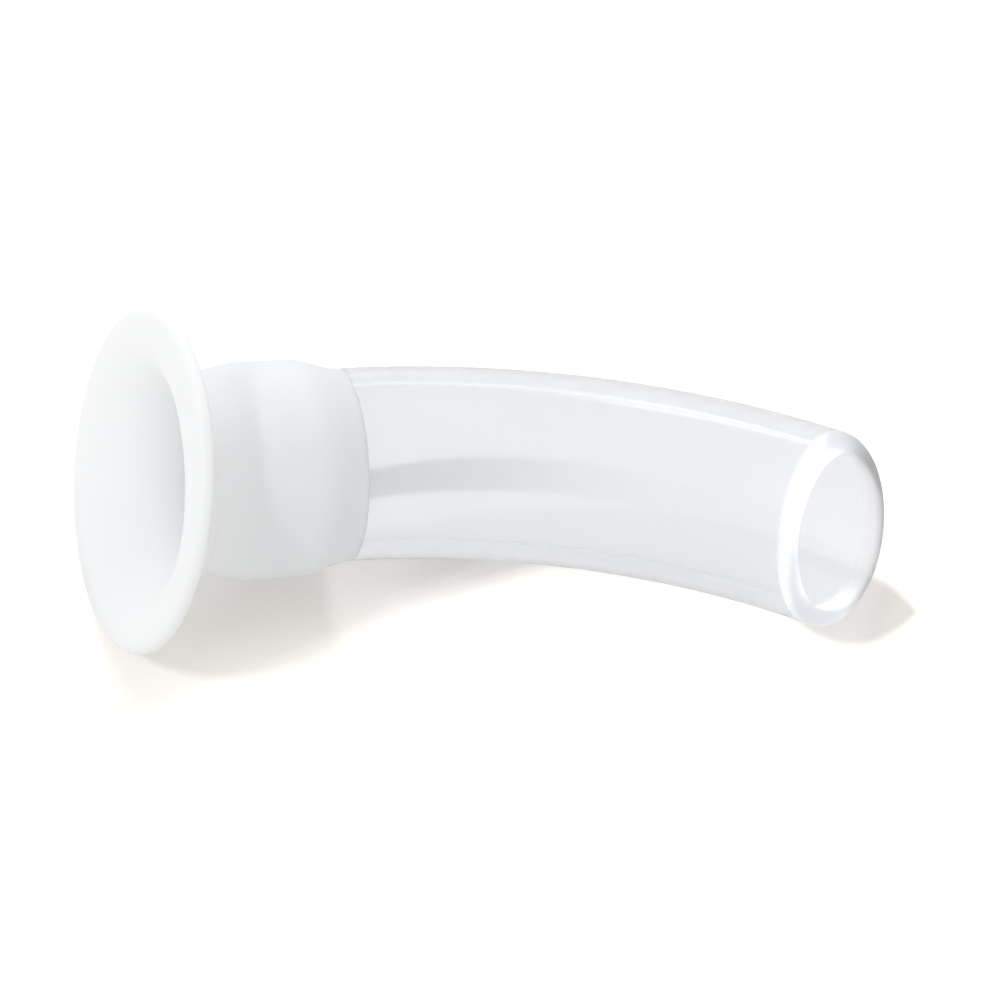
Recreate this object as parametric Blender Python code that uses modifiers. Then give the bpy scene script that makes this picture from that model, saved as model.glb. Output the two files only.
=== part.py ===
"""Laryngectomy tube: a white flared head carrying a clear, curved breathing tube.

Metres, +Z up. The tube lies on its side on a flat floor, as it comes to rest. The head is
turned about its own axis and the curved tube is turned straight and then bent, so every size
below is measured along or across that one axis, from the mouth's rim to the tip.
"""
import math

import bmesh
import bpy
from mathutils import Euler, Matrix, Vector

# The clear tube.
TUBE_OUTER_RADIUS = 0.0075
TUBE_WALL = 0.0015
TUBE_BORE_RADIUS = TUBE_OUTER_RADIUS - TUBE_WALL
BEND_RADIUS = 0.047
BEND_ANGLE = math.radians(49.0)
LIP_OUTER_ROUNDING = 0.00112
LIP_BORE_ROUNDING = TUBE_WALL - LIP_OUTER_ROUNDING
TIP_CUT_ANGLE = math.radians(10.0)
TIP_CUT_REACH = 0.011

# The white head, from the rim of its mouth to the shoulder where the clear tube leaves it.
RIM_RADIUS = 0.01345
RIM_EDGE_RADIUS = 0.00058
NECK_RADIUS = 0.0076
NECK_STATION = 0.0046
NECK_FILLET = 0.0007
BARREL_RADIUS = 0.00845
BARREL_FRONT_STATION = 0.0088
BARREL_BACK_STATION = 0.0122
SHOULDER_STATION = 0.0166
SHOULDER_RADIUS = TUBE_OUTER_RADIUS
THROAT_STATION = 0.0068
THROAT_RADIUS = TUBE_BORE_RADIUS

# The silicone flange has settled a little: it leans on the collar and sits low on it.
FLANGE_LEAN_DOWN = math.radians(7.5)
FLANGE_LEAN_FAR = math.radians(5.0)
FLANGE_DROP = 0.0003

# The hidden joint: a spigot on the tube in a socket in the head.
SEAT_CLEARANCE = 0.0003
SPIGOT_RADIUS = 0.0068
SPIGOT_LENGTH = 0.0065
SOCKET_RADIUS = SPIGOT_RADIUS + SEAT_CLEARANCE
SOCKET_STATION = SHOULDER_STATION - SPIGOT_LENGTH - SEAT_CLEARANCE

# How the whole thing lies: turned about its own axis, nose down, then turned on the floor.
REST_ROLL = math.radians(-26.85)
REST_PITCH = math.radians(11.97)
REST_YAW = math.radians(11.0)

# Fineness of the turned shapes.
TURN_STEPS = 72
CURVE_STEPS = 12
BEND_STEPS = 18


def clear_scene():
    """Removes what a new file holds."""
    for item in list(bpy.data.objects):
        bpy.data.objects.remove(item, do_unlink=True)


def ease(value):
    """Goes smoothly from 0 to 1 as the value does, and stays level outside."""
    value = min(max(value, 0.0), 1.0)
    return value * value * (3.0 - 2.0 * value)


def quarter(start, end, bulge_first, steps=CURVE_STEPS):
    """Points of a quarter ellipse from start to end, without the first one.

    Each point is (radius, station). With bulge_first the radius changes first, and otherwise
    the station does.
    """
    points = []
    for step in range(1, steps + 1):
        angle = math.pi / 2 * step / steps
        first = math.sin(angle)
        last = 1.0 - math.cos(angle)
        along_radius, along_station = (first, last) if bulge_first else (last, first)
        points.append((start[0] + (end[0] - start[0]) * along_radius,
                       start[1] + (end[1] - start[1]) * along_station))
    return points


def barrel_radius(station):
    """Radius of the collar's outside, from the neck over the barrel to the shoulder."""
    if station < BARREL_FRONT_STATION:
        left = (BARREL_FRONT_STATION - station) / (BARREL_FRONT_STATION - NECK_STATION)
        return BARREL_RADIUS - (BARREL_RADIUS - NECK_RADIUS) * left ** 2
    if station > BARREL_BACK_STATION:
        done = (station - BARREL_BACK_STATION) / (SHOULDER_STATION - BARREL_BACK_STATION)
        fall = math.sin(math.pi / 2 * done) ** 2
        return BARREL_RADIUS - (BARREL_RADIUS - SHOULDER_RADIUS) * fall
    return BARREL_RADIUS


def mouth_edge():
    """Points round the thin rim, from the mouth's face over the edge to the flange's back."""
    points = []
    centre = (RIM_RADIUS - RIM_EDGE_RADIUS, RIM_EDGE_RADIUS)
    back = math.atan2(RIM_RADIUS - NECK_RADIUS, NECK_STATION)
    turn = math.pi / 2 + back
    for step in range(9):
        angle = -math.pi / 2 + (turn - math.radians(30.0)) * step / 8
        points.append((centre[0] + RIM_EDGE_RADIUS * math.cos(angle),
                       centre[1] + RIM_EDGE_RADIUS * math.sin(angle)))
    return points


def head_profile():
    """Closed section of the head: down its outside to the shoulder, and back up inside."""
    edge = mouth_edge()
    points = list(edge)
    back_start = edge[-1]
    neck = (NECK_RADIUS, NECK_STATION)
    for step in range(1, 7):
        part = step / 7
        straight = (back_start[0] + (neck[0] - back_start[0]) * part,
                    back_start[1] + (neck[1] - back_start[1]) * part)
        hollow = NECK_FILLET * math.sin(math.pi * part) ** 2
        points.append((straight[0] - hollow * 0.35, straight[1] - hollow * 0.35))
    for step in range(0, 19):
        station = NECK_STATION + (SHOULDER_STATION - NECK_STATION) * step / 18
        points.append((barrel_radius(station), station))
    points.append((SOCKET_RADIUS, SHOULDER_STATION))
    points.append((SOCKET_RADIUS, SOCKET_STATION))
    points.append((THROAT_RADIUS, SOCKET_STATION))
    points.append((THROAT_RADIUS, (SOCKET_STATION + THROAT_STATION) / 2))
    throat = (THROAT_RADIUS, THROAT_STATION)
    points.append(throat)
    points += quarter(throat, (edge[0][0], edge[0][1]), False, 16)[:-1]
    return points


def tube_profile():
    """Closed section of the straight tube: down its outside to the tip, and back up the bore."""
    end = SHOULDER_STATION + BEND_RADIUS * BEND_ANGLE
    spigot_start = SHOULDER_STATION - SPIGOT_LENGTH
    points = [(SPIGOT_RADIUS - 0.0002, spigot_start), (SPIGOT_RADIUS, spigot_start + 0.0002)]
    points.append((SPIGOT_RADIUS, SHOULDER_STATION))
    outside_end = end - LIP_OUTER_ROUNDING
    for step in range(BEND_STEPS + 1):
        station = SHOULDER_STATION + (outside_end - SHOULDER_STATION) * step / BEND_STEPS
        points.append((TUBE_OUTER_RADIUS, station))
    crest = (TUBE_OUTER_RADIUS - LIP_OUTER_ROUNDING, end)
    points += quarter((TUBE_OUTER_RADIUS, outside_end), crest, False, 7)
    inside_end = end - LIP_BORE_ROUNDING
    points += quarter(crest, (TUBE_BORE_RADIUS, inside_end), True, 4)
    for step in range(1, BEND_STEPS + 1):
        station = inside_end + (SHOULDER_STATION - inside_end) * step / BEND_STEPS
        points.append((TUBE_BORE_RADIUS, station))
    points.append((TUBE_BORE_RADIUS, spigot_start))
    return points


def turned(name, profile):
    """Turns a closed section about the Z axis. The station runs down from Z = 0."""
    mesh = bpy.data.meshes.new(name)
    corners = [(radius, 0.0, -station) for radius, station in profile]
    count = len(corners)
    mesh.from_pydata(corners, [(i, (i + 1) % count) for i in range(count)], [])
    item = bpy.data.objects.new(name, mesh)
    bpy.context.scene.collection.objects.link(item)
    screw = item.modifiers.new("turn", "SCREW")
    screw.steps = TURN_STEPS
    screw.render_steps = TURN_STEPS
    screw.use_merge_vertices = True
    screw.merge_threshold = 0.00001
    screw.use_smooth_shade = True
    shaped = bpy.data.meshes.new_from_object(item.evaluated_get(bpy.context.evaluated_depsgraph_get()))
    bpy.data.objects.remove(item, do_unlink=True)
    bpy.data.meshes.remove(mesh)
    shaped.name = name
    return shaped


def lean_flange(station, bend_side, under):
    """How far a point of the head moves because the flange leans: along the axis and under."""
    radius = math.hypot(bend_side, under)
    grip = ease((radius - NECK_RADIUS * 0.93) / (RIM_RADIUS * 0.9 - NECK_RADIUS * 0.93))
    grip *= 1.0 - ease((station - NECK_STATION * 0.9) / 0.0018)
    along = grip * (math.tan(FLANGE_LEAN_FAR) * bend_side - math.tan(FLANGE_LEAN_DOWN) * under)
    return along, grip * FLANGE_DROP


def cut_tip(station, under):
    """How far a point near the tip moves along the tube, as the tip is cut a little aslant."""
    end = SHOULDER_STATION + BEND_RADIUS * BEND_ANGLE
    return math.tan(TIP_CUT_ANGLE) * under * ease(1.0 - (end - station) / TIP_CUT_REACH)


def onto_axis(mesh, is_head):
    """Lays a turned shape along the real axis: +X from the mouth, bending towards -Y."""
    for vertex in mesh.vertices:
        station = -vertex.co.z
        bend_side = vertex.co.x
        under = vertex.co.y
        if is_head:
            along, drop = lean_flange(station, bend_side, under)
            station += along
            under += drop
        else:
            station += cut_tip(station, under)
        angle = max(station - SHOULDER_STATION, 0.0) / BEND_RADIUS
        straight = min(station, SHOULDER_STATION)
        reach = BEND_RADIUS - bend_side
        x = straight + reach * math.sin(angle)
        sideways = BEND_RADIUS - reach * math.cos(angle)
        vertex.co = Vector((x, -sideways, -under))


def finish_mesh(mesh):
    """Points the faces outwards and shades the mesh smooth but for its sharp edges."""
    work = bmesh.new()
    work.from_mesh(mesh)
    bmesh.ops.recalc_face_normals(work, faces=work.faces)
    work.to_mesh(mesh)
    work.free()
    mesh.shade_smooth()
    mesh.set_sharp_from_angle(angle=math.radians(50.0))


def material(name, colour, roughness, alpha=1.0, transmission=0.0, ior=1.41):
    """A plain silicone finish."""
    made = bpy.data.materials.new(name)
    made.use_nodes = True
    shader = made.node_tree.nodes["Principled BSDF"]
    shader.inputs["Base Color"].default_value = (*colour, 1.0)
    shader.inputs["Roughness"].default_value = roughness
    shader.inputs["Metallic"].default_value = 0.0
    shader.inputs["Alpha"].default_value = alpha
    shader.inputs["Transmission Weight"].default_value = transmission
    shader.inputs["IOR"].default_value = ior
    return made


def add_part(name, mesh, finish, collection):
    """Makes the object of one piece."""
    mesh.materials.clear()
    mesh.materials.append(finish)
    item = bpy.data.objects.new(name, mesh)
    collection.objects.link(item)
    return item


def lay_down(meshes):
    """Turns the pieces as they come to rest, and sets them on the floor about the origin."""
    turn = Euler((REST_ROLL, REST_PITCH, REST_YAW), "XYZ").to_matrix().to_4x4()
    for mesh in meshes:
        mesh.transform(turn)
    low = [min(v.co[i] for mesh in meshes for v in mesh.vertices) for i in range(3)]
    high = [max(v.co[i] for mesh in meshes for v in mesh.vertices) for i in range(3)]
    shift = Vector((-(low[0] + high[0]) / 2, -(low[1] + high[1]) / 2, -low[2]))
    for mesh in meshes:
        mesh.transform(Matrix.Translation(shift))


def main():
    """Builds the head and the tube."""
    clear_scene()
    parts = bpy.data.collections.new("laryngectomy_tube")
    bpy.context.scene.collection.children.link(parts)
    head = turned("flared_head", head_profile())
    onto_axis(head, True)
    tube = turned("curved_tube", tube_profile())
    onto_axis(tube, False)
    lay_down([head, tube])
    finish_mesh(head)
    finish_mesh(tube)
    white = material("white_silicone", (0.90, 0.905, 0.92), 0.42)
    clear = material("clear_silicone", (0.93, 0.94, 0.96), 0.12, alpha=0.35, transmission=0.9)
    add_part("flared_head", head, white, parts)
    add_part("curved_tube", tube, clear, parts)


main()
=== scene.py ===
"""The looks of a laryngectomy tube: a white flared silicone head on a clear curved tube.

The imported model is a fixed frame. Both pieces are modelled again here in the form of their
solids, far finer, so that the clear wall bends light smoothly. Each is drawn out ring by ring
along the X axis, from the mouth to the tip, with X = 0 at the shoulder where the two meet.
The tube is then bent, and both are laid down in the place that the frame gives.
"""
import logging
import math
from collections.abc import Callable
from dataclasses import dataclass, field
from enum import Enum

import bmesh
import bpy
from mathutils import Euler, Matrix, Vector


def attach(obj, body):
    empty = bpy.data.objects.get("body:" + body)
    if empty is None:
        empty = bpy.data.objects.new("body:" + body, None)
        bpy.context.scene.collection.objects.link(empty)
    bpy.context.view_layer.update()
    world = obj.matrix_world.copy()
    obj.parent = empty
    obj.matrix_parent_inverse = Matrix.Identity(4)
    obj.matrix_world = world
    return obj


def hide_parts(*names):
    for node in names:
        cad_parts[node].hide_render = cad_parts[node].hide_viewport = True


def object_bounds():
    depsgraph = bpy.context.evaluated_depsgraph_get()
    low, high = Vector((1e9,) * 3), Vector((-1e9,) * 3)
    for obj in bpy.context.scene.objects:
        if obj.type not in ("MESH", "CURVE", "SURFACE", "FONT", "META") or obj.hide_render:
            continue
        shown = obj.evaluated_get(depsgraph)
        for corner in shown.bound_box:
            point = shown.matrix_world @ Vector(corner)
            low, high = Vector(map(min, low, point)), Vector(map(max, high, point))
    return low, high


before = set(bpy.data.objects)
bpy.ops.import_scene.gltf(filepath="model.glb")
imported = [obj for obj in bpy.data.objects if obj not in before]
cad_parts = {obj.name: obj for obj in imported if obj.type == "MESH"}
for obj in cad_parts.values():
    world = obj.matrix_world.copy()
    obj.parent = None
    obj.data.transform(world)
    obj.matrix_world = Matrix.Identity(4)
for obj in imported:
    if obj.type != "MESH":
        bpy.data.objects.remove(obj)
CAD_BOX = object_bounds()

LOG = logging.getLogger("laryngectomy_tube")
PICTURE_SIDE = 1000
SENSOR_WIDTH_MM = 36.0
ROUND_STEPS = 192
SAME_PLACE = 1e-7
SAME_RADIUS = 1e-6
WELD_DISTANCE = 2e-6
SHARP_ANGLE = math.radians(40.0)
CAMERA_REACH = (0.01, 20.0)
CLOUD_DETAIL = 3.0
GRAIN_SCALE = 2600.0
GRAIN_DETAIL = 4.0
END_MARK = "open_end"
PAINTED_GLOW_MARK = "painted_lip_glow"

Point = tuple[float, float]
Colour = tuple[float, float, float]
Curve = tuple[float, float, float]


def ease(value: float) -> float:
    """Goes smoothly from 0 to 1 as the value does, and stays level outside.

    Args:
        value: How far along the change is, from 0 to 1.

    Returns:
        The eased share, from 0 to 1.
    """
    value = min(max(value, 0.0), 1.0)
    return value * value * (3.0 - 2.0 * value)


def rise(value: float, reach: Point) -> float:
    """Goes smoothly from 0 to 1 as a value goes from one end of a reach to the other.

    Args:
        value: The value.
        reach: Where the change starts and where it ends, in either order.

    Returns:
        The eased share, from 0 to 1.
    """
    return ease((value - reach[0]) / (reach[1] - reach[0]))


def quarter(start: Point, end: Point, bulge_first: bool, steps: int) -> list[Point]:
    """Points of a quarter ellipse from start to end, without the first one.

    Args:
        start: Radius and station where the curve starts.
        end: Radius and station where it ends.
        bulge_first: Whether the radius changes before the station does.
        steps: How many points the curve has.

    Returns:
        The points, each a radius and a station.
    """
    points = []
    for step in range(1, steps + 1):
        angle = math.pi / 2 * step / steps
        first = math.sin(angle)
        last = 1.0 - math.cos(angle)
        along_radius, along_station = (first, last) if bulge_first else (last, first)
        points.append((start[0] + (end[0] - start[0]) * along_radius,
                       start[1] + (end[1] - start[1]) * along_station))
    return points


class RingSkin:
    """A skin drawn out ring by ring along the X axis, in edit mode."""

    def __init__(self, name: str, radius: float, station: float) -> None:
        """Starts the skin with one ring.

        Args:
            name: The piece's name.
            radius: The first ring's radius.
            station: The first ring's place along X.
        """
        bpy.ops.object.select_all(action="DESELECT")
        bpy.ops.mesh.primitive_circle_add(vertices=ROUND_STEPS, radius=radius, fill_type="NOTHING",
                                          location=(0.0, 0.0, 0.0),
                                          rotation=(0.0, math.pi / 2, 0.0))
        self.piece = bpy.context.object
        self.piece.name = name
        self.piece.data.name = name
        bpy.ops.object.transform_apply(location=True, rotation=True, scale=True)
        bpy.ops.object.mode_set(mode="EDIT")
        bpy.ops.mesh.select_mode(type="VERT")
        bpy.ops.mesh.select_all(action="SELECT")
        bpy.ops.transform.translate(value=(station, 0.0, 0.0))
        self.radius = radius
        self.station = station

    def ring(self, radius: float, station: float) -> None:
        """Draws the open end out to a new ring.

        Args:
            radius: The new ring's radius.
            station: The new ring's place along X.
        """
        move = (station - self.station, 0.0, 0.0)
        bpy.ops.mesh.extrude_region_move(TRANSFORM_OT_translate={"value": move})
        scale = radius / self.radius
        bpy.ops.transform.resize(value=(1.0, scale, scale), center_override=(station, 0.0, 0.0))
        self.radius = radius
        self.station = station

    def run(self, station: float, cuts: int) -> None:
        """Draws the open end straight out, cut into even rings for the bend to come.

        Args:
            station: Where the run ends.
            cuts: How many rings it has between its ends.
        """
        start = self.station
        self.ring(self.radius, station)
        low, high = sorted((start, station))
        work = bmesh.from_edit_mesh(self.piece.data)
        for edge in work.edges:
            reach = sorted(corner.co.x for corner in edge.verts)
            level = all(self.on_radius(corner) for corner in edge.verts)
            whole = abs(reach[0] - low) < SAME_PLACE and abs(reach[1] - high) < SAME_PLACE
            edge.select = level and whole
        bmesh.update_edit_mesh(self.piece.data)
        bpy.ops.mesh.subdivide(number_cuts=cuts)
        self.select_end()

    def on_radius(self, corner: bmesh.types.BMVert) -> bool:
        """Tells whether a corner lies at the open end's radius.

        Args:
            corner: The corner.

        Returns:
            Whether it does.
        """
        return abs(math.hypot(corner.co.y, corner.co.z) - self.radius) < SAME_RADIUS

    def select_end(self) -> None:
        """Selects the open end's ring alone, by its place."""
        bpy.ops.mesh.select_all(action="DESELECT")
        work = bmesh.from_edit_mesh(self.piece.data)
        for corner in work.verts:
            near = abs(corner.co.x - self.station) < SAME_PLACE
            corner.select = near and self.on_radius(corner)
        work.select_flush(True)
        bmesh.update_edit_mesh(self.piece.data)

    def finish(self) -> bpy.types.Object:
        """Closes the skin onto its first ring.

        Returns:
            The piece, one closed body with its faces pointing out.
        """
        bpy.ops.mesh.select_all(action="SELECT")
        bpy.ops.mesh.remove_doubles(threshold=WELD_DISTANCE)
        bpy.ops.mesh.select_all(action="SELECT")
        bpy.ops.mesh.normals_make_consistent(inside=False)
        bpy.ops.object.mode_set(mode="OBJECT")
        return self.piece


def tilt(piece: bpy.types.Object, shift: Callable[[Vector], Vector]) -> None:
    """Moves each point of a piece along X and Z by a smooth rule.

    Args:
        piece: The piece, still straight along X.
        shift: Gives the move for a point's place.
    """
    for corner in piece.data.vertices:
        corner.co += shift(corner.co)
    piece.data.update()


def mark(piece: bpy.types.Object, name: str, share: Callable[[Vector], float]) -> None:
    """Marks each point of a piece with a share from 0 to 1, for the finish to follow.

    Args:
        piece: The piece, still straight along X.
        name: The mark's name.
        share: Gives the share for a point's place.
    """
    made = piece.data.attributes.new(name, "FLOAT", "POINT")
    for corner, value in zip(piece.data.vertices, made.data):
        value.value = share(corner.co)


@dataclass
class ClearTube:
    """The clear curved tube, its spigot and its rounded open tip."""

    outer_radius: float = 0.0075
    wall: float = 0.0015
    bend_radius: float = 0.047
    bend_angle: float = math.radians(49.0)
    lip_outer_rounding: float = 0.00112
    lip_outer_rings: int = 16
    lip_inner_rings: int = 8
    tip_cut_angle: float = math.radians(10.0)
    tip_cut_reach: float = 0.011
    lip_length: float = 0.0015
    lip_fade: float = 0.0006
    # The lip's glow is painted light: none on its dark side, half on its pale side, full on the
    # flanks.
    dark_side: float = math.radians(-10.0)
    dark_spread: Point = (0.75, 0.05)
    pale_side: float = math.radians(168.0)
    pale_spread: Point = (0.75, 1.0)
    pale_share: float = 0.5
    spigot_radius: float = 0.0068
    spigot_length: float = 0.0065
    spigot_edge: float = 0.0002
    bend_cuts: int = 95
    spigot_cuts: int = 9

    @property
    def bore_radius(self) -> float:
        """Radius of the way through the tube."""
        return self.outer_radius - self.wall

    @property
    def length(self) -> float:
        """Length of the bent part along its middle."""
        return self.bend_radius * self.bend_angle

    def build(self) -> bpy.types.Object:
        """Models the tube straight, cuts its tip a little aslant, and bends it.

        Returns:
            The tube, bending towards -Y.
        """
        start = -self.spigot_length
        skin = RingSkin("clear_tube", self.spigot_radius - self.spigot_edge, start)
        skin.ring(self.spigot_radius, start + self.spigot_edge)
        skin.ring(self.spigot_radius, 0.0)
        skin.ring(self.outer_radius, 0.0)
        straight_end = self.length - self.lip_outer_rounding
        skin.run(straight_end, self.bend_cuts)
        crest = (self.outer_radius - self.lip_outer_rounding, self.length)
        for radius, station in quarter((self.outer_radius, straight_end), crest, False,
                                       self.lip_outer_rings):
            skin.ring(radius, station)
        bore_start = (self.bore_radius, self.length - (self.wall - self.lip_outer_rounding))
        for radius, station in quarter(crest, bore_start, True, self.lip_inner_rings):
            skin.ring(radius, station)
        skin.run(0.0, self.bend_cuts)
        skin.run(start, self.spigot_cuts)
        skin.ring(self.spigot_radius - self.spigot_edge, start)
        piece = skin.finish()
        mark(piece, END_MARK, self.lip_share)
        mark(piece, PAINTED_GLOW_MARK, self.painted_lip_glow)
        tilt(piece, self.aslant)
        self.bend(piece)
        return piece

    def lip_share(self, place: Vector) -> float:
        """How far a point of the tube belongs to the lip.

        Args:
            place: The point's place along and across the straight tube.

        Returns:
            The share, from 0 to 1.
        """
        return ease((place.x - self.length + self.lip_length) / self.lip_fade)

    def painted_lip_glow(self, place: Vector) -> float:
        """How much of the lip's own light a point of the lip gets, as given.

        Args:
            place: The point's place along and across the straight tube.

        Returns:
            The share of painted glow, from 0 on the lip's dark side to 1 on both flanks.
        """
        angle = math.atan2(place.z, place.y)
        away = rise(math.cos(angle - self.dark_side), self.dark_spread)
        between = rise(math.cos(angle - self.pale_side), self.pale_spread)
        return self.lip_share(place) * away * (1.0 - self.pale_share * between)

    def aslant(self, place: Vector) -> Vector:
        """How far a point near the tip moves, as the tip is cut a little aslant.

        Args:
            place: The point's place along and across the straight tube.

        Returns:
            The move, along the tube.
        """
        grip = ease(1.0 - (self.length - place.x) / self.tip_cut_reach)
        return Vector((-math.tan(self.tip_cut_angle) * place.z * grip, 0.0, 0.0))

    def bend(self, piece: bpy.types.Object) -> None:
        """Bends all of the tube past the shoulder to its true radius.

        Args:
            piece: The straight tube.
        """
        reach = [corner.co.x for corner in piece.data.vertices]
        low, high = min(reach), max(reach)
        bend = piece.modifiers.new("bend", "SIMPLE_DEFORM")
        bend.deform_method = "BEND"
        bend.deform_axis = "Z"
        bend.limits = (-low / (high - low), 1.0)
        bend.angle = -high / self.bend_radius
        select_only(piece)
        bpy.ops.object.modifier_apply(modifier=bend.name)


@dataclass
class FlaredHead:
    """The white head: a thin flared flange, a neck, and a barrel-shaped collar."""

    tube: ClearTube
    rim_radius: float = 0.01345
    rim_edge_radius: float = 0.00058
    neck_radius: float = 0.0076
    neck_station: float = 0.0046
    neck_hollow: float = 0.000245
    barrel_radius: float = 0.00845
    barrel_front: float = 0.0088
    barrel_back: float = 0.0122
    shoulder: float = 0.0166
    throat_station: float = 0.0068
    seat_clearance: float = 0.0003
    lean_down: float = math.radians(7.5)
    lean_far: float = math.radians(5.0)
    flange_drop: float = 0.0003
    lean_reach: Point = (0.93, 0.9)
    neck_hold: float = 0.0018
    neck_hold_start: float = 0.9
    rim_back_turn: float = math.radians(30.0)
    mouth_fade: float = 0.010
    edge_steps: int = 20
    back_steps: int = 28
    barrel_steps: int = 60
    mouth_steps: int = 64

    def collar_radius(self, station: float) -> float:
        """Radius of the collar's outside.

        Args:
            station: The place along the head, from the rim.

        Returns:
            The radius there.
        """
        full = self.barrel_radius
        if station < self.barrel_front:
            left = (self.barrel_front - station) / (self.barrel_front - self.neck_station)
            return full - (full - self.neck_radius) * left ** 2
        if station > self.barrel_back:
            done = (station - self.barrel_back) / (self.shoulder - self.barrel_back)
            return full - (full - self.tube.outer_radius) * math.sin(math.pi / 2 * done) ** 2
        return full

    def rim(self) -> list[Point]:
        """Points round the thin rim, from the mouth's face over the edge to the back."""
        middle = self.rim_radius - self.rim_edge_radius
        back = math.atan2(self.rim_radius - self.neck_radius, self.neck_station)
        turn = math.pi / 2 + back - self.rim_back_turn
        points = []
        for step in range(self.edge_steps + 1):
            angle = -math.pi / 2 + turn * step / self.edge_steps
            points.append((middle + self.rim_edge_radius * math.cos(angle),
                           self.rim_edge_radius * (1.0 + math.sin(angle))))
        return points

    def outside(self) -> list[Point]:
        """Points down the flange's back and over the collar to the shoulder."""
        start = self.rim()[-1]
        neck = (self.neck_radius, self.neck_station)
        points = []
        for step in range(1, self.back_steps):
            share = step / self.back_steps
            hollow = self.neck_hollow * math.sin(math.pi * share) ** 2
            points.append((start[0] + (neck[0] - start[0]) * share - hollow,
                           start[1] + (neck[1] - start[1]) * share - hollow))
        for step in range(self.barrel_steps + 1):
            share = step / self.barrel_steps
            station = self.neck_station + (self.shoulder - self.neck_station) * share
            points.append((self.collar_radius(station), station))
        return points

    def inside(self) -> list[Point]:
        """Points of the hidden socket, the throat and the trumpet of the mouth."""
        socket = self.tube.spigot_radius + self.seat_clearance
        socket_end = self.shoulder - self.tube.spigot_length - self.seat_clearance
        bore = self.tube.bore_radius
        rim = self.rim()[0]
        points = [(socket, self.shoulder), (socket, socket_end), (bore, socket_end)]
        points.append((bore, (socket_end + self.throat_station) / 2))
        throat = (bore, self.throat_station)
        points.append(throat)
        return points + quarter(throat, rim, False, self.mouth_steps)

    def build(self) -> bpy.types.Object:
        """Models the head along its axis, with the flange settled as the real one is.

        Returns:
            The head, mouth towards -X.
        """
        rim = self.rim()
        skin = RingSkin("white_head", rim[0][0], rim[0][1] - self.shoulder)
        for radius, station in rim[1:] + self.outside() + self.inside():
            skin.ring(radius, station - self.shoulder)
        piece = skin.finish()
        # The mouth's mark also carries its paler colour, which is painted light on the shaded
        # mouth.
        mark(piece, END_MARK, self.mouth_share)
        tilt(piece, self.lean)
        return piece

    def mouth_share(self, place: Vector) -> float:
        """How far a point of the head belongs to its mouth.

        Args:
            place: The point's place along and across the head.

        Returns:
            The share, from 0 to 1.
        """
        return ease(1.0 - (place.x + self.shoulder) / self.mouth_fade)

    def lean(self, place: Vector) -> Vector:
        """How far a point of the flange moves because the soft flange leans and sags.

        Args:
            place: The point's place along and across the head.

        Returns:
            The move, along the head and down.
        """
        radius = math.hypot(place.y, place.z)
        inner = self.neck_radius * self.lean_reach[0]
        grip = rise(radius, (inner, self.rim_radius * self.lean_reach[1]))
        held = self.neck_station * self.neck_hold_start
        grip *= 1.0 - rise(place.x + self.shoulder, (held, held + self.neck_hold))
        along = math.tan(self.lean_down) * place.z - math.tan(self.lean_far) * place.y
        return Vector((grip * along, 0.0, -grip * self.flange_drop))


@dataclass(frozen=True)
class RestPose:
    """How the whole thing lies on the floor."""

    roll: float = math.radians(-26.85)
    pitch: float = math.radians(11.97)
    yaw: float = math.radians(11.0)

    def lay_down(self, pieces: list[bpy.types.Object]) -> None:
        """Turns the pieces as they rest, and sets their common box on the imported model's.

        Args:
            pieces: The pieces, still along the X axis.
        """
        turn = Euler((self.roll, self.pitch, self.yaw), "XYZ").to_matrix().to_4x4()
        for piece in pieces:
            piece.data.transform(turn)
        low = [min(c.co[i] for p in pieces for c in p.data.vertices) for i in range(3)]
        high = [max(c.co[i] for p in pieces for c in p.data.vertices) for i in range(3)]
        middle = (CAD_BOX[0] + CAD_BOX[1]) / 2
        shift = Vector((middle.x - (low[0] + high[0]) / 2, middle.y - (low[1] + high[1]) / 2,
                        CAD_BOX[0].z - low[2]))
        for piece in pieces:
            piece.data.transform(Matrix.Translation(shift))
            piece.data.update()


def select_only(piece: bpy.types.Object) -> None:
    """Selects one piece alone and makes it active."""
    bpy.ops.object.select_all(action="DESELECT")
    piece.select_set(True)
    bpy.context.view_layer.objects.active = piece


def shade(piece: bpy.types.Object) -> None:
    """Shades a piece smooth but for its sharp edges."""
    select_only(piece)
    bpy.ops.object.shade_smooth_by_angle(angle=SHARP_ANGLE)


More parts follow.
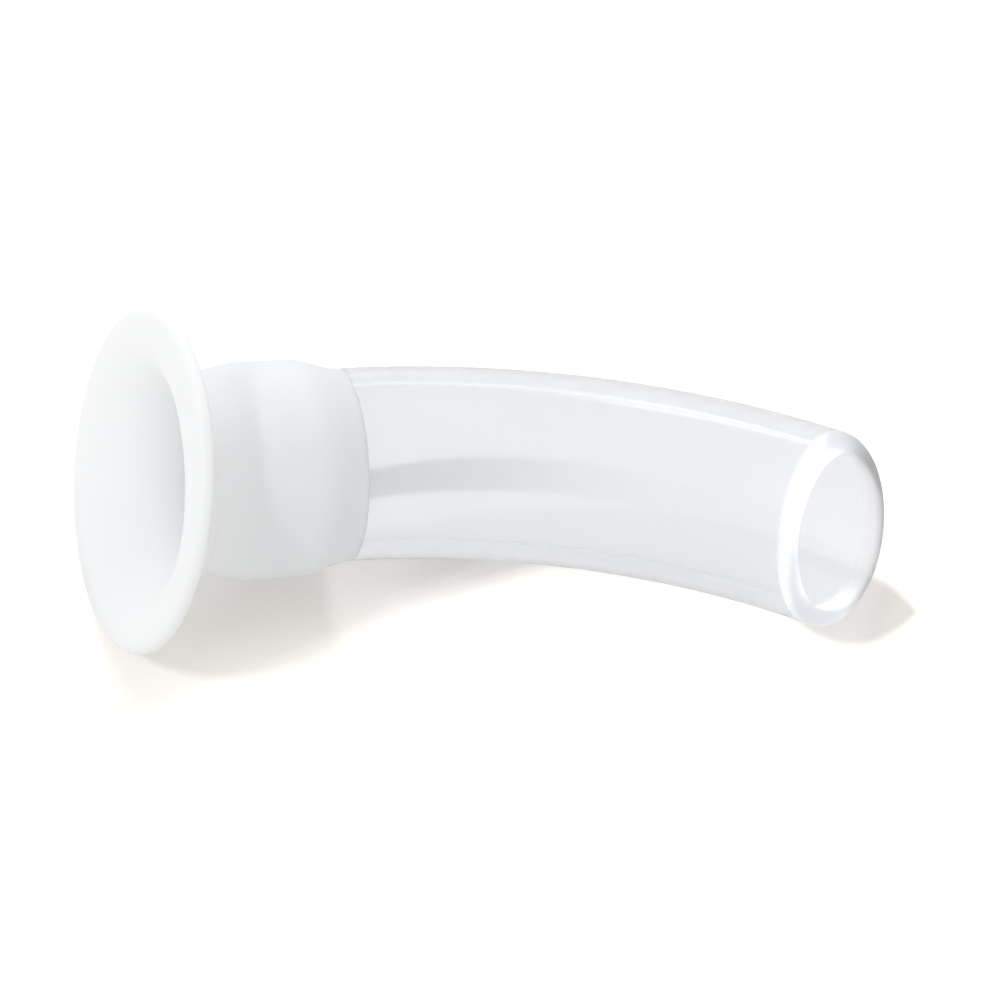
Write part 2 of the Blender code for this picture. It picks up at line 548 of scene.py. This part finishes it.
class SurfaceGroup:
    """The fine unevenness of moulded silicone, shared by both finishes."""

    def __init__(self) -> None:
        """Builds the node group with its named inputs and outputs."""
        self.tree = bpy.data.node_groups.new("moulded_silicone", "ShaderNodeTree")
        side = self.tree.interface
        for name, kind in (("Colour", "NodeSocketColor"), ("Deep colour", "NodeSocketColor"),
                           ("Cloud scale", "NodeSocketFloat"), ("Roughness", "NodeSocketFloat"),
                           ("Roughness spread", "NodeSocketFloat")):
            side.new_socket(name, in_out="INPUT", socket_type=kind)
        for name, kind in (("Colour", "NodeSocketColor"), ("Roughness", "NodeSocketFloat"),
                           ("Height", "NodeSocketFloat")):
            side.new_socket(name, in_out="OUTPUT", socket_type=kind)
        nodes, links = self.tree.nodes, self.tree.links
        given = nodes.new("NodeGroupInput")
        given_out = nodes.new("NodeGroupOutput")
        place = nodes.new("ShaderNodeTexCoord")
        cloud = nodes.new("ShaderNodeTexNoise")
        cloud.inputs["Detail"].default_value = CLOUD_DETAIL
        fine = nodes.new("ShaderNodeTexNoise")
        fine.inputs["Scale"].default_value = GRAIN_SCALE
        fine.inputs["Detail"].default_value = GRAIN_DETAIL
        links.new(place.outputs["Object"], cloud.inputs["Vector"])
        links.new(place.outputs["Object"], fine.inputs["Vector"])
        links.new(given.outputs["Cloud scale"], cloud.inputs["Scale"])
        tone = nodes.new("ShaderNodeMix")
        tone.data_type = "RGBA"
        links.new(cloud.outputs["Fac"], tone.inputs["Factor"])
        links.new(given.outputs["Colour"], tone.inputs["A"])
        links.new(given.outputs["Deep colour"], tone.inputs["B"])
        spread = nodes.new("ShaderNodeMath")
        spread.operation = "MULTIPLY_ADD"
        centred = nodes.new("ShaderNodeMath")
        centred.operation = "SUBTRACT"
        centred.inputs[1].default_value = 0.5
        links.new(cloud.outputs["Fac"], centred.inputs[0])
        links.new(centred.outputs[0], spread.inputs[0])
        links.new(given.outputs["Roughness spread"], spread.inputs[1])
        links.new(given.outputs["Roughness"], spread.inputs[2])
        links.new(tone.outputs["Result"], given_out.inputs["Colour"])
        links.new(spread.outputs[0], given_out.inputs["Roughness"])
        links.new(fine.outputs["Fac"], given_out.inputs["Height"])

    def place(self, tree: bpy.types.NodeTree, finish: "Finish") -> bpy.types.Node:
        """Adds the group to a material with the finish's own values.

        Args:
            tree: The material's node tree.
            finish: The finish that the material gives.

        Returns:
            The group's node.
        """
        node = tree.nodes.new("ShaderNodeGroup")
        node.node_tree = self.tree
        node.inputs["Colour"].default_value = (*finish.colour, 1.0)
        node.inputs["Deep colour"].default_value = (*finish.deep_colour, 1.0)
        node.inputs["Cloud scale"].default_value = finish.cloud_scale
        node.inputs["Roughness"].default_value = finish.roughness
        node.inputs["Roughness spread"].default_value = finish.roughness_spread
        return node


@dataclass(frozen=True)
class Finish:
    """A silicone finish, in a Principled shader's terms.

    The values that start with end_ hold at the piece's open end, which END_MARK marks. On the
    white head the end colour is painted light, paler than the rest to lift the mouth's shade. The
    shadow_pass values are the share of the lamps' light that gets through, and the end glow is
    painted light that the lip is given though it is no lamp, spread as its mark says.
    """

    name: str
    slot: str
    colour: Colour
    deep_colour: Colour
    roughness: float
    roughness_spread: float
    cloud_scale: float
    grain_height: float
    transmission: float = 0.0
    refraction: float = 1.41
    scatter: float = 0.0
    scatter_reach: Colour = (1.0, 0.9, 0.85)
    scatter_scale: float = 0.002
    end_colour_and_painted_light: Colour = (1.0, 1.0, 1.0)
    end_roughness: float = 0.4
    end_scatter_scale: float = 0.002
    shadow_pass: float = 0.0
    end_shadow_pass: float = 0.0
    end_painted_glow: float = 0.0
    end_painted_glow_colour: Colour = (0.90, 0.95, 1.0)

    def material(self, surface: SurfaceGroup) -> bpy.types.Material:
        """Builds the material.

        Args:
            surface: The shared surface group.

        Returns:
            The material.
        """
        made = bpy.data.materials.new(self.name)
        made.use_nodes = True
        tree = made.node_tree
        shader = tree.nodes["Principled BSDF"]
        shader.inputs["Metallic"].default_value = 0.0
        shader.inputs["IOR"].default_value = self.refraction
        shader.inputs["Transmission Weight"].default_value = self.transmission
        shader.inputs["Subsurface Weight"].default_value = self.scatter
        shader.inputs["Subsurface Radius"].default_value = self.scatter_reach
        skin = surface.place(tree, self)
        grain = tree.nodes.new("ShaderNodeBump")
        grain.inputs["Strength"].default_value = 1.0
        grain.inputs["Distance"].default_value = self.grain_height
        end = tree.nodes.new("ShaderNodeAttribute")
        end.attribute_name = END_MARK
        # On the white head the end colour is painted light, paler than the rest to lift the mouth's
        # shade.
        tone = tree.nodes.new("ShaderNodeMix")
        tone.data_type = "RGBA"
        tone.inputs["B"].default_value = (*self.end_colour_and_painted_light, 1.0)
        satin = tree.nodes.new("ShaderNodeMix")
        satin.inputs["B"].default_value = self.end_roughness
        reach = tree.nodes.new("ShaderNodeMix")
        reach.inputs["A"].default_value = self.scatter_scale
        reach.inputs["B"].default_value = self.end_scatter_scale
        light = tree.nodes.new("ShaderNodeMix")
        light.inputs["A"].default_value = self.shadow_pass
        light.inputs["B"].default_value = self.end_shadow_pass
        for mix in (tone, satin, reach, light):
            tree.links.new(end.outputs["Fac"], mix.inputs["Factor"])
        tree.links.new(skin.outputs["Colour"], tone.inputs["A"])
        tree.links.new(skin.outputs["Roughness"], satin.inputs["A"])
        tree.links.new(tone.outputs["Result"], shader.inputs["Base Color"])
        tree.links.new(satin.outputs["Result"], shader.inputs["Roughness"])
        tree.links.new(reach.outputs["Result"], shader.inputs["Subsurface Scale"])
        if self.end_shadow_pass > 0.0:
            tree.links.new(self.solid(tree, light.outputs["Result"]), shader.inputs["Alpha"])
        # The lip's glow is painted light, an emission spread by its mark, though the lip is no
        # lamp.
        if self.end_painted_glow > 0.0:
            lit = tree.nodes.new("ShaderNodeAttribute")
            lit.attribute_name = PAINTED_GLOW_MARK
            glow = tree.nodes.new("ShaderNodeMath")
            glow.operation = "MULTIPLY"
            glow.inputs[1].default_value = self.end_painted_glow
            tree.links.new(lit.outputs["Fac"], glow.inputs[0])
            tree.links.new(glow.outputs[0], shader.inputs["Emission Strength"])
            shader.inputs["Emission Color"].default_value = (*self.end_painted_glow_colour, 1.0)
        tree.links.new(skin.outputs["Height"], grain.inputs["Height"])
        tree.links.new(grain.outputs["Normal"], shader.inputs["Normal"])
        return made

    def solid(self, tree: bpy.types.NodeTree, passed: bpy.types.NodeSocket) -> bpy.types.NodeSocket:
        """Makes a clear wall solid to every ray but the lamps' light, most of which it lets by.

        Args:
            tree: The material's node tree.
            passed: The share of the lamps' light that passes.

        Returns:
            How solid the wall is.
        """
        path = tree.nodes.new("ShaderNodeLightPath")
        lost = tree.nodes.new("ShaderNodeMath")
        lost.operation = "MULTIPLY"
        kept = tree.nodes.new("ShaderNodeMath")
        kept.operation = "SUBTRACT"
        kept.inputs[0].default_value = 1.0
        tree.links.new(path.outputs["Is Shadow Ray"], lost.inputs[0])
        tree.links.new(passed, lost.inputs[1])
        tree.links.new(lost.outputs[0], kept.inputs[1])
        return kept.outputs[0]


class Silicone(Enum):
    """The two silicones that the object is moulded from."""

    # The white head's paler end colour is painted light that lifts its shaded mouth.
    WHITE = Finish("white_silicone", "white_silicone", (0.869, 0.889, 0.913), (0.854, 0.876, 0.903),
                   0.46, 0.08, 160.0, 0.000004, scatter=0.6, scatter_scale=0.0015,
                   end_colour_and_painted_light=(0.962, 0.975, 0.995), end_roughness=0.46, end_scatter_scale=0.003,
                   end_shadow_pass=0.15)
    # The clear tube's end glow is painted light on its lip.
    CLEAR = Finish("clear_silicone", "clear_silicone", (0.985, 0.99, 1.0), (0.975, 0.98, 0.995),
                   0.10, 0.03, 220.0, 0.0000003, transmission=0.88,
                   shadow_pass=0.97, end_shadow_pass=0.8, end_roughness=0.5, end_painted_glow=0.42)


def dress(piece: bpy.types.Object, finish: Finish, surface: SurfaceGroup, node: str) -> None:
    """Gives a piece its finish, and the place of the solid that it stands for.

    Args:
        piece: The finished piece.
        finish: Its finish.
        surface: The shared surface group.
        node: The solid that it replaces.
    """
    piece.data.materials.clear()
    piece.data.materials.append(finish.material(surface))
    shade(piece)
    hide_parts(node)
    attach(piece, "root")
    LOG.info("%s stands for %s with %d faces", piece.name, node, len(piece.data.polygons))


@dataclass(frozen=True)
class PaintedFloorBand:
    """A soft band of painted shade on the floor between two curves, or painted light if its depth
    is below 0.

    It is drawn after the photo, and doesn't follow from the part's form. Each line gives Y
    for X as a curve of the second degree, its highest power first. The depth is the share of
    light lost, and it changes along X over the span.
    """

    far_line: Curve
    near_line: Curve
    softness: float
    span: Point
    depth: Point

    def side(self, tree: bpy.types.NodeTree, place: bpy.types.Node, line: Curve,
             softness: float) -> bpy.types.NodeSocket:
        """Goes from 0 to 1 across one of the lines.

        Args:
            tree: The floor's node tree.
            place: The node that separates the floor's own place.
            line: The line to cross.
            softness: Half the width of the crossing; below 0 it goes from 1 to 0.

        Returns:
            The share's socket.
        """
        level = None
        for lower in line[1:]:
            step = tree.nodes.new("ShaderNodeMath")
            step.operation = "MULTIPLY_ADD"
            tree.links.new(place.outputs["X"], step.inputs[0])
            if level is None:
                step.inputs[1].default_value = line[0]
            else:
                tree.links.new(level, step.inputs[1])
            step.inputs[2].default_value = lower
            level = step.outputs[0]
        across = tree.nodes.new("ShaderNodeMath")
        across.operation = "SUBTRACT"
        tree.links.new(place.outputs["Y"], across.inputs[0])
        tree.links.new(level, across.inputs[1])
        return self.ramp(tree, across.outputs[0], (-softness, softness), (0.0, 1.0))

    def ramp(self, tree: bpy.types.NodeTree, value: bpy.types.NodeSocket, low_high: Point,
             results: Point) -> bpy.types.NodeSocket:
        """Goes smoothly from one result to another.

        Args:
            tree: The floor's node tree.
            value: The value that drives it.
            low_high: The values where it starts and ends.
            results: What it gives there.

        Returns:
            The result's socket.
        """
        node = tree.nodes.new("ShaderNodeMapRange")
        node.interpolation_type = "SMOOTHSTEP"
        tree.links.new(value, node.inputs["Value"])
        for name, given in zip(("From Min", "From Max", "To Min", "To Max"), low_high + results):
            node.inputs[name].default_value = given
        return node.outputs["Result"]

    def build(self, tree: bpy.types.NodeTree, place: bpy.types.Node) -> bpy.types.NodeSocket:
        """Builds the band's share of light lost.

        Args:
            tree: The floor's node tree.
            place: The node that separates the floor's own place.

        Returns:
            The share's socket.
        """
        parts = [self.side(tree, place, self.near_line, self.softness),
                 self.side(tree, place, self.far_line, -self.softness),
                 self.ramp(tree, place.outputs["X"], self.span, self.depth)]
        total = parts[0]
        for part in parts[1:]:
            times = tree.nodes.new("ShaderNodeMath")
            times.operation = "MULTIPLY"
            tree.links.new(total, times.inputs[0])
            tree.links.new(part, times.inputs[1])
            total = times.outputs[0]
        return total


@dataclass(frozen=True)
class Lamp:
    """One soft oval lamp, which gloss shows or not, and which no clear wall shows."""

    name: str
    towards: Vector
    side: float
    height: float
    power: float
    colour: Colour
    in_gloss: bool
    distance: float = 0.6

    def hang(self) -> None:
        """Hangs the lamp, facing the object."""
        data = bpy.data.lights.new(self.name, "AREA")
        data.shape = "ELLIPSE"
        data.size = self.side
        data.size_y = self.height
        data.energy = self.power
        data.color = self.colour
        lamp = bpy.data.objects.new(self.name, data)
        bpy.context.scene.collection.objects.link(lamp)
        direction = self.towards.normalized()
        lamp.location = direction * self.distance
        lamp.rotation_mode = "QUATERNION"
        lamp.rotation_quaternion = (-direction).to_track_quat("-Z", "Y")
        lamp.visible_glossy = self.in_gloss
        lamp.visible_transmission = False


@dataclass
class Studio:
    """A pale floor, soft lamps, an even room and the camera."""

    floor_side: float = 6.0
    floor_seen: Colour = (1.30, 1.255, 1.195)
    # Painted shadows on the open floor, under the tube's start beside the head and beside the tip.
    painted_floor_shadows: tuple[PaintedFloorBand, ...] = (
        PaintedFloorBand((-13.3, 0.0259, 0.01035), (-3.81, 0.339, -0.0019), 0.0011, (-0.010, 0.002),
                  (0.08, 0.31)),
        PaintedFloorBand((-149.7, 8.7033, -0.12787), (115.4, -6.7347, 0.08985), 0.0008, (0.020, 0.024),
                  (0.0, 0.34)),
    )
    floor_through: Colour = (0.942, 0.944, 0.957)
    # Painted light and shade on the floor seen through the clear tube: the first band is painted
    # light, the others painted shade.
    painted_shade_and_light_through_tube: tuple[PaintedFloorBand, ...] = (
        PaintedFloorBand((0.0, 0.0, 0.03), (0.0, 0.0, -0.03), 0.001, (-0.010, 0.006), (-0.06, 0.0)),
        PaintedFloorBand((-13.3, 0.0259, 0.01035), (-11.45, -0.0031, 0.0066), 0.0003, (-0.012, 0.016),
                  (0.37, 0.04)),
        PaintedFloorBand((-12.9, 0.199, 0.0039), (0.0, 0.0, -0.1), 0.0005, (-0.01, 0.02), (0.08, 0.11)),
        PaintedFloorBand((-12.9, 0.199, 0.0018), (0.0, 0.0, -0.1), 0.0020, (-0.01, 0.008), (0.05, 0.0)),
    )
    floor_bounce: Colour = (0.94, 0.93, 0.91)
    ambient: Colour = (0.64, 0.635, 0.625)
    room_through: Colour = (0.945, 0.95, 0.97)
    azimuth: float = math.radians(-0.57)
    elevation: float = math.radians(55.81)
    camera_roll: float = math.radians(-0.78)
    distance: float = 0.7
    aim: Point = (0.00168, 0.00506)
    lens_pixels: float = 8931.0
    lamps: list[Lamp] = field(default_factory=lambda: [
        Lamp("left_lamp", Vector((-0.69, -0.33, 1.0)), 0.08, 0.08, 0.71, (0.93, 0.96, 1.0), False),
        Lamp("far_lamp", Vector((0.0, 0.90, 0.45)), 0.14, 0.14, 0.65, (0.90, 0.95, 1.0), False),
        Lamp("streak_lamp", Vector((0.0885, 0.94, 0.345)), 0.03, 0.20, 0.050, (0.92, 0.96, 1.0),
             True),
        Lamp("top_lamp", Vector((0.15, 0.1, 1.0)), 0.30, 0.30, 0.42, (0.97, 0.98, 1.0), False),
        Lamp("mouth_lamp", Vector((-1.0, 0.80, 0.30)), 0.25, 0.25, 0.25, (0.90, 0.94, 1.0), False),
    ])

    def build(self) -> None:
        """Builds the whole studio."""
        self.floor()
        self.world()
        for lamp in self.lamps:
            lamp.hang()
        self.camera()

    def floor(self) -> None:
        """Lays the floor: white with painted shadows, and painted shade and light seen through the
        tube.
        """
        bpy.ops.object.select_all(action="DESELECT")
        bpy.ops.mesh.primitive_plane_add(size=self.floor_side, location=(0.0, 0.0, CAD_BOX[0].z))
        plane = bpy.context.object
        plane.name = "floor"
        made = bpy.data.materials.new("pale_floor")
        made.use_nodes = True
        tree = made.node_tree
        tree.nodes.remove(tree.nodes["Principled BSDF"])
        path = tree.nodes.new("ShaderNodeLightPath")
        colour = tree.nodes.new("ShaderNodeMix")
        colour.data_type = "RGBA"
        colour.inputs["A"].default_value = (*self.floor_bounce, 1.0)
        matt = tree.nodes.new("ShaderNodeBsdfDiffuse")
        beneath = tree.nodes.new("ShaderNodeEmission")
        beneath.inputs["Color"].default_value = (*self.floor_through, 1.0)
        either = tree.nodes.new("ShaderNodeMixShader")
        where = tree.nodes.new("ShaderNodeTexCoord")
        place = tree.nodes.new("ShaderNodeSeparateXYZ")
        tree.links.new(where.outputs["Object"], place.inputs[0])
        shaded = tree.nodes.new("ShaderNodeVectorMath")
        shaded.operation = "SCALE"
        shaded.inputs[0].default_value = self.floor_seen
        # Painted shadows darken the floor that the camera sees.
        tree.links.new(self.light_left(tree, place, self.painted_floor_shadows), shaded.inputs["Scale"])
        tree.links.new(shaded.outputs[0], colour.inputs["B"])
        # Painted shade and light on the floor that shows through the clear tube.
        tree.links.new(self.light_left(tree, place, self.painted_shade_and_light_through_tube), beneath.inputs["Strength"])
        tree.links.new(path.outputs["Is Camera Ray"], colour.inputs["Factor"])
        tree.links.new(colour.outputs["Result"], matt.inputs["Color"])
        tree.links.new(path.outputs["Is Transmission Ray"], either.inputs[0])
        tree.links.new(matt.outputs[0], either.inputs[1])
        tree.links.new(beneath.outputs[0], either.inputs[2])
        tree.links.new(either.outputs[0], tree.nodes["Material Output"].inputs["Surface"])
        plane.data.materials.append(made)

    def light_left(self, tree: bpy.types.NodeTree, place: bpy.types.Node,
                   bands: tuple[PaintedFloorBand, ...]) -> bpy.types.NodeSocket:
        """The share of light that some bands leave, which is 1 less what each of them takes.

        Args:
            tree: The floor's node tree.
            place: The node that separates the floor's own place.
            bands: The bands.

        Returns:
            The share's socket.
        """
        left = None
        for band in bands:
            less = tree.nodes.new("ShaderNodeMath")
            less.operation = "SUBTRACT"
            less.inputs[0].default_value = 1.0
            if left is not None:
                tree.links.new(left, less.inputs[0])
            tree.links.new(band.build(tree, place), less.inputs[1])
            left = less.outputs[0]
        return left

    def world(self) -> None:
        """Sets an even light all round: white to the camera and gloss, pale through the tube."""
        world = bpy.data.worlds.new("soft_room")
        world.use_nodes = True
        tree = world.node_tree
        back = tree.nodes["Background"]
        path = tree.nodes.new("ShaderNodeLightPath")
        seen = tree.nodes.new("ShaderNodeMath")
        seen.operation = "MAXIMUM"
        tree.links.new(path.outputs["Is Camera Ray"], seen.inputs[0])
        tree.links.new(path.outputs["Is Glossy Ray"], seen.inputs[1])
        colour = tree.nodes.new("ShaderNodeMix")
        colour.data_type = "RGBA"
        colour.inputs["A"].default_value = (*self.ambient, 1.0)
        colour.inputs["B"].default_value = (1.0, 1.0, 1.0, 1.0)
        tree.links.new(seen.outputs[0], colour.inputs["Factor"])
        through = tree.nodes.new("ShaderNodeMix")
        through.data_type = "RGBA"
        through.inputs["B"].default_value = (*self.room_through, 1.0)
        tree.links.new(path.outputs["Is Transmission Ray"], through.inputs["Factor"])
        tree.links.new(colour.outputs["Result"], through.inputs["A"])
        tree.links.new(through.outputs["Result"], back.inputs["Color"])
        back.inputs["Strength"].default_value = 1.0
        bpy.context.scene.world = world

    def camera(self) -> None:
        """Sets the camera at the photograph's place."""
        level = math.cos(self.elevation)
        back = Vector((math.sin(self.azimuth) * level, -math.cos(self.azimuth) * level,
                       math.sin(self.elevation)))
        right = Vector((0.0, 0.0, 1.0)).cross(back).normalized()
        up = back.cross(right)
        turn = Matrix.Rotation(self.camera_roll, 3, back)
        right = turn @ right
        up = turn @ up
        data = bpy.data.cameras.new("camera")
        data.sensor_width = SENSOR_WIDTH_MM
        data.lens = self.lens_pixels * SENSOR_WIDTH_MM / PICTURE_SIDE
        data.clip_start, data.clip_end = CAMERA_REACH
        camera = bpy.data.objects.new("camera", data)
        bpy.context.scene.collection.objects.link(camera)
        place = right * self.aim[0] + up * self.aim[1] + back * self.distance
        frame_of = Matrix((right, up, back)).transposed().to_4x4()
        camera.matrix_world = Matrix.Translation(place) @ frame_of
        bpy.context.scene.camera = camera


def main() -> None:
    """Builds the studio and both pieces, and reports each."""
    logging.basicConfig(level=logging.INFO, format="%(message)s")
    bpy.context.scene.view_settings.view_transform = "Standard"
    Studio().build()
    surface = SurfaceGroup()
    tube = ClearTube()
    head = FlaredHead(tube)
    white_head = head.build()
    clear_tube = tube.build()
    RestPose().lay_down([white_head, clear_tube])
    dress(white_head, Silicone.WHITE.value, surface, "flared_head")
    dress(clear_tube, Silicone.CLEAR.value, surface, "curved_tube")


if __name__ == "__main__":
    main()
